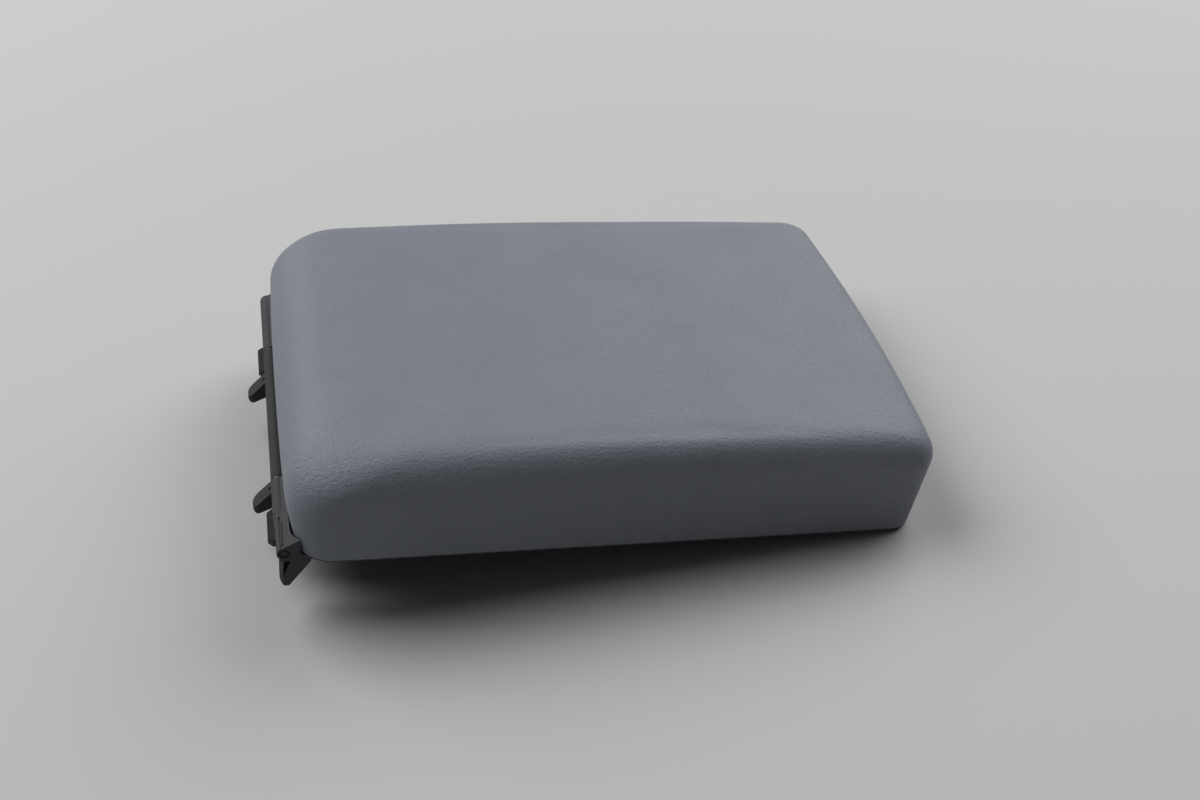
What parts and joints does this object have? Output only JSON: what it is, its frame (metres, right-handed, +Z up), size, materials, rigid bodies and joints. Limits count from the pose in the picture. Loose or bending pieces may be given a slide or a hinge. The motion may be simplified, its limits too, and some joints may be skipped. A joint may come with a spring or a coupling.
{
  "type": "car centre console armrest",
  "caption": "Padded centre console lid with a leather cover, a moulded hinge on a screwed base, and a sprung finger latch in its front edge.",
  "frame": {"origin": "middle of the hinge base's four-screw pattern, on the flange's rear face that meets the console", "axes": "+X towards the front of the closed lid, +Y across the lid, +Z up"},
  "size_m": [0.3228, 0.2172, 0.0877],
  "materials": {
    "cover_leather": "fine-grained, matte",
    "foam": "open-cell foam",
    "moulded_plastic": "satin moulded",
    "grained_plastic": "fine-grained",
    "steel": "zinc plated",
    "acetal": "smooth moulded",
    "rubber": "matte"
  },
  "bodies": {
    "base": {"hinge_base": "moulded_plastic", "hinge_pin": "steel", "near_pin_clip": "steel", "far_pin_clip": "steel"},
    "lid": {"cover_skin": "cover_leather", "foam_pad": "foam", "carrier": "moulded_plastic", "cover_staples": "steel", "lower_panel": "grained_plastic", "panel_screws": "steel", "near_hinge_arm": "moulded_plastic", "far_hinge_arm": "moulded_plastic", "arm_screws": "steel", "near_bush": "acetal", "far_bush": "acetal", "near_buffer": "rubber", "far_buffer": "rubber", "latch_housing": "grained_plastic", "latch_screws": "steel", "latch_pin": "steel", "latch_spring": "steel"},
    "latch": {"latch_lever": "moulded_plastic"}
  },
  "joints": [
    {"name": "lid_hinge", "type": "hinge", "parent": "base", "child": "lid", "pos_m": [-0.0136, 0, 0.0212], "axis": [0, -1, 0], "range_deg": [0, 95]},
    {"name": "latch_hinge", "type": "hinge", "parent": "lid", "child": "latch", "pos_m": [0.2643, 0, 0.032], "axis": [0, -1, 0], "range_deg": [0, 18], "stiffness_Nm_per_rad": 0.06, "springref_deg": -11.46, "deforming": ["latch_spring"]}
  ]
}
